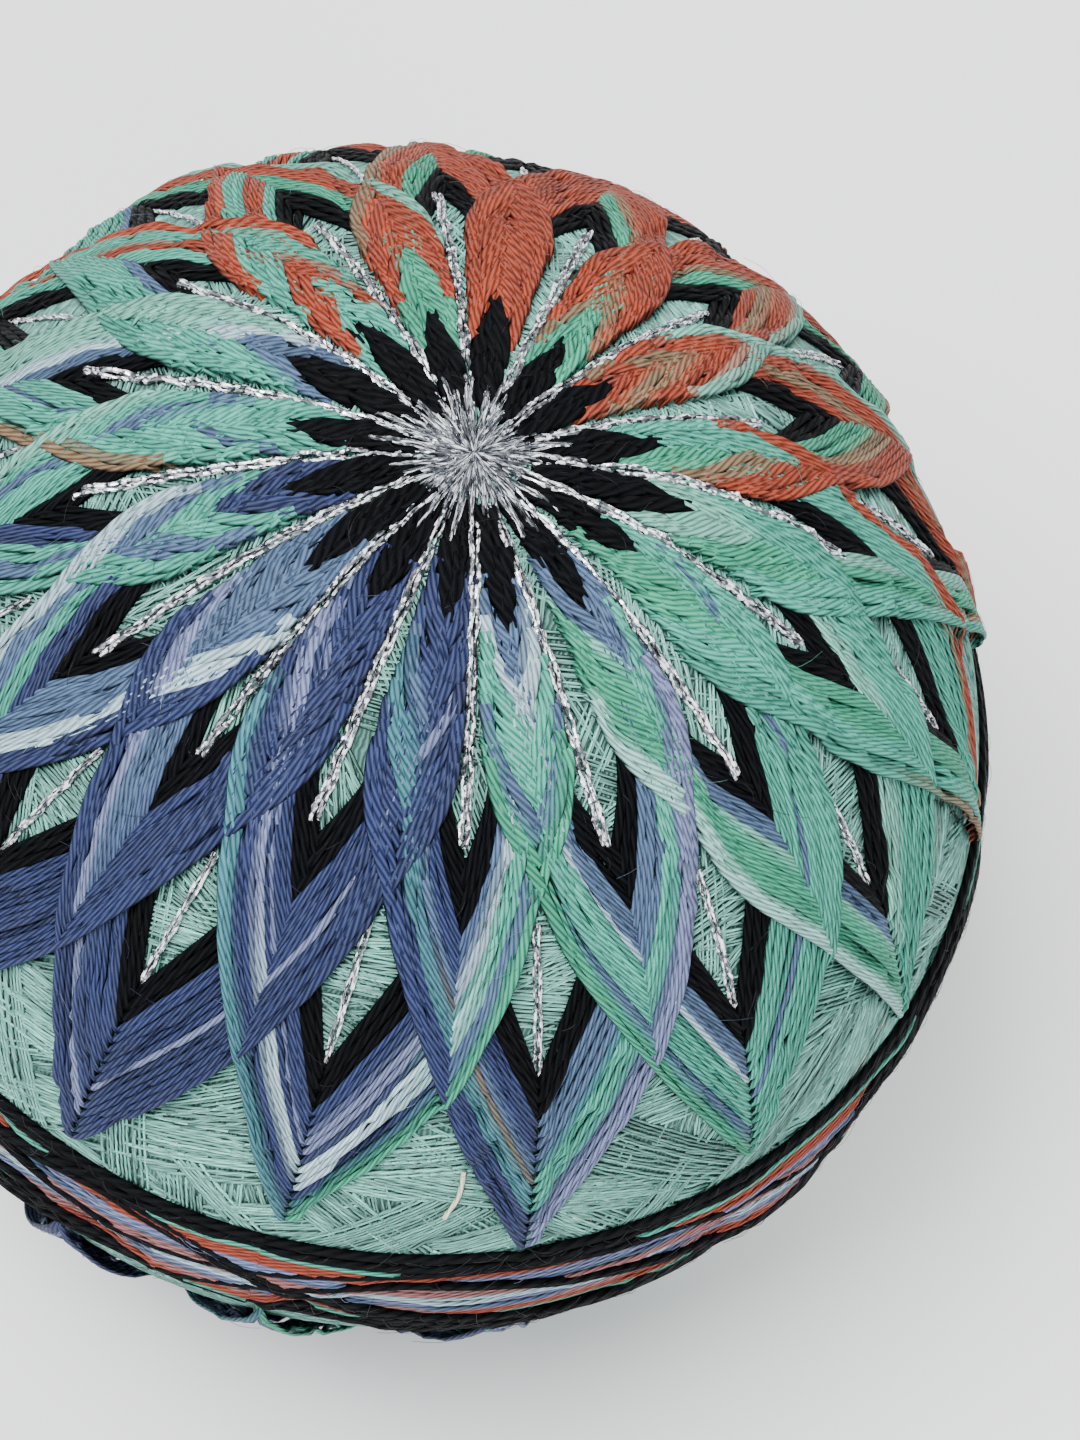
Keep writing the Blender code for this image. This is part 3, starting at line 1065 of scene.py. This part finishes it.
def exposed_runs(covered):
    """Start and end of each stretch of a closed line that shows."""
    shown = ~covered
    if shown.all():
        return [(0, len(covered))]
    first = int(np.argmin(shown))
    order = np.append(np.roll(shown, -first).astype(int), 0)
    starts = np.flatnonzero(np.diff(order) == 1) + 1
    ends = np.flatnonzero(np.diff(order) == -1) + 1
    return [(a + first, b + first) for a, b in zip(starts, ends) if b - a >= LEAST_SHOWN]


def band_pole(number):
    """The axis of a band of wound thread. The last bands cross openings on either half in turn."""
    if number < BANDS - OPENING_BANDS:
        return unit(rng.normal(0, 1, 3))
    opening = OPENINGS[number % 2]
    around = 360 * (number * OPENING_STEP % 1)
    spot = toward(rng.normal(opening.down, opening.stray), around)
    level = np.array([math.cos(math.radians(around)), math.sin(math.radians(around)), 0.0])
    turn = math.radians(rng.normal(0, opening.slope))
    heading = level * math.cos(turn) + np.cross(spot, level) * math.sin(turn)
    return np.cross(spot, heading) * np.array([1, 1, 1 if number % 4 < 2 else -1])


def wound_strands():
    """The strands of every band in the order of winding, as (path, height, tint)."""
    count = int(math.tau * BALL_RADIUS / LAY_STEP)
    turn = np.linspace(0, math.tau, count, endpoint=False)
    strands = []
    for number in range(BANDS):
        pole = band_pole(number)
        first = unit(np.cross(pole, rng.normal(0, 1, 3)))
        circle = np.cos(turn)[:, None] * first + np.sin(turn)[:, None] * np.cross(pole, first)
        width = rng.integers(*BAND_STRANDS)
        # The band's painted sheen or shade, with each strand's own on top
        shade = rng.uniform(*BAND_PAINTED_SHEENS)
        for strand in range(width):
            wander = np.sin(turn * rng.integers(2, 5) + rng.uniform(0, 6)) * STRAND_WANDER * MM
            offset = (strand - width / 2) * STRAND_PITCH + wander
            path = unit(circle + pole * offset[:, None] / BALL_RADIUS)
            height = lay(path[None], STRAND_WIDTH, STRAND_THICKNESS, WRAP_PILE)[0]
            tint = linear("wrap") * shade * rng.choice(STRAND_PAINTED_SHEENS)
            tint = linear("cream") if rng.random() < CREAM_SHARE else tint
            strands.append((path, height, tint))
    return strands


def box_blurred(values, reach):
    """A map averaged over so many cells to each side, twice along each axis."""
    for axis, mode in ((0, "edge"), (1, "wrap")):
        for _ in range(2):
            margins = [(0, 0), (0, 0)]
            margins[axis] = (reach + 1, reach)
            total = np.cumsum(np.pad(values, margins, mode=mode), axis=axis, dtype=float)
            count = values.shape[axis]
            far = np.take(total, np.arange(count) + 2 * reach + 1, axis=axis)
            values = (far - np.take(total, np.arange(count), axis=axis)) / (2 * reach + 1)
    return values


def make_wrap(skeins, cover):
    """Bands of sewing thread round the ball, only where no stitch or later strand hides them."""
    strands = wound_strands()
    level = box_blurred(height_map, LEVEL_REACH)
    for path, height, tint in strands:
        spots = cells(path)
        buried = height_map[spots] - height - STRAND_THICKNESS / 2 > BURIED
        height = np.minimum(height - level[spots], WRAP_RELIEF - STRAND_THICKNESS / 2)
        for start, end in exposed_runs(cover[spots] | buried):
            half = -1 if path[(start + end) // 2 % len(path), 2] < 0 else 1
            run = np.arange(start, end)[thin_out(end - start, STRAND_EVERY[half])] % len(path)
            skeins[half].add(path[run][None], height[run][None], STRAND_WIDTH, STRAND_THICKNESS, tint)
    height_map[:] = np.clip(height_map - level, 0, WRAP_RELIEF)
    path = smooth_path(np.stack([toward(*spot) for spot in SCRAP])[None])
    height = lay(path, SCRAP_WIDTH, STRAND_THICKNESS)
    skeins[1].add(path, height, SCRAP_WIDTH, STRAND_THICKNESS, linear("cream"))


# Floor and light

FLOOR_REACH = 3.0
FLOOR_GREYS = (0.86, 0.90)
SKY, SKY_STRENGTH = (0.95, 0.97, 1.0, 1), 0.66
Lamp = namedtuple("Lamp", "name place size power")
LAMPS = (
    Lamp("key", (-0.25, -0.15, 0.75), 0.4, 12.0),
    Lamp("fill", (0.5, -0.7, 0.45), 0.6, 6.0),
    Lamp("back", (0.1, 0.7, 0.5), 0.5, 4.0),
)


def make_stage():
    """A plain pale floor, a pale sky and three soft lamps."""
    mesh = bpy.data.meshes.new("floor")
    corners = [(x * FLOOR_REACH, y * FLOOR_REACH, 0) for x, y in ((-1, -1), (1, -1), (1, 1), (-1, 1))]
    mesh.from_pydata(corners, [], [(0, 1, 2, 3)])
    floor = add_object("floor", mesh)
    nodes = Nodes("floor_paper")
    grain = nodes.add("TexNoise", _2=40.0)
    colour = nodes.add("MapRange", _0=grain, _3=FLOOR_GREYS[0], _4=FLOOR_GREYS[1])
    nodes.surface("Base Color", colour)
    nodes.surface("Roughness", 0.9)
    mesh.materials.append(nodes.material)
    world = bpy.data.worlds.new("studio")
    bpy.context.scene.world = world
    world.use_nodes = True
    world.node_tree.nodes["Background"].inputs[0].default_value = SKY
    world.node_tree.nodes["Background"].inputs[1].default_value = SKY_STRENGTH
    for lamp in LAMPS:
        light = bpy.data.lights.new(lamp.name, "AREA")
        light.size = lamp.size
        light.energy = lamp.power
        stand = add_object(lamp.name, light)
        stand.location = lamp.place
        aim = Vector(CENTRE) - Vector(lamp.place)
        stand.rotation_euler = aim.to_track_quat("-Z", "Y").to_euler()


# The pieces

HALVES = {1: "_upper", -1: "_lower"}


def built(table, half, node=None, smooth=True):
    """The pieces of a table of (skein, name, material), in place of a node's solid if they have one."""
    pieces = []
    for skein, name, material in table:
        piece = skein.build(name + HALVES.get(half, ""), material, smooth)
        if node:
            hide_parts(node)
        pieces.append(piece)
    return pieces


def wrap_pieces(legs, fine):
    skeins = {half: Skein(FLAT_SECTION) for half in HALVES}
    make_wrap(skeins, covered_by(legs[1] + legs[-1]))
    pieces = []
    for half in HALVES:
        pieces += built([(skeins[half], "wrap_strands", fine)], half)
    return pieces


def guide_pieces(half, silver):
    guides = Skein()
    make_guides(guides, half)
    return built([(guides, "marking_lines", silver)], half, smooth=False)


def petal_pieces(legs, half, cotton, yarn, fine):
    black, even, odd, fuzz = Skein(), Skein(), Skein(), Skein(FLAT_SECTION)
    make_petals(legs[half], half, black, (even, odd), fuzz)
    table = (
        (black, "petal_edges", yarn),
        (even, "petals_even", cotton),
        (odd, "petals_odd", cotton),
        (fuzz, "petal_fuzz", fine),
    )
    return built(table, half, "kiku_north" if half > 0 else "kiku_south")


def belt_pieces(cotton, yarn, fine):
    threads, yarns, fuzz = Skein(), Skein(), Skein(FLAT_SECTION)
    make_belt((threads, yarns), fuzz)
    table = (
        (yarns, "belt_edges", yarn),
        (threads, "belt_threads", cotton),
        (fuzz, "belt_fuzz", fine),
    )
    return built(table, None, "obi_band")


def star_pieces(half, silver, needle):
    """Only the upper star has a solid that it stands for."""
    rays, needles = Skein(), Skein(FLAT_SECTION)
    make_star(rays, needles, half)
    table = ((rays, "star_rays", silver), (needles, "star_needles", needle))
    return built(table, half, "star_north" if half > 0 else None, smooth=False)


def main():
    """Lays the threads in the order in which they cross: wrap, guides, petals, belt and star."""
    make_camera()
    make_stage()
    cotton = thread_material("cotton_thread", COTTON)
    yarn = thread_material("black_yarn", YARN)
    fine = thread_material("sewing_thread", SEWING)
    silver = silver_material("silver_lame", *RAY_FOIL)
    needle = silver_material("silver_needles", *NEEDLE_FOIL)
    legs = {half: plan_legs(half) for half in HALVES}
    pieces = wrap_pieces(legs, fine)
    for half in HALVES:
        pieces += guide_pieces(half, silver)
    for half in HALVES:
        pieces += petal_pieces(legs, half, cotton, yarn, fine)
    pieces += belt_pieces(cotton, yarn, fine)
    for half in HALVES:
        pieces += star_pieces(half, silver, needle)
    ball = make_ball()
    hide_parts("wound_ball")
    pieces.append(ball)
    for piece in pieces:
        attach(piece, "root")


main()
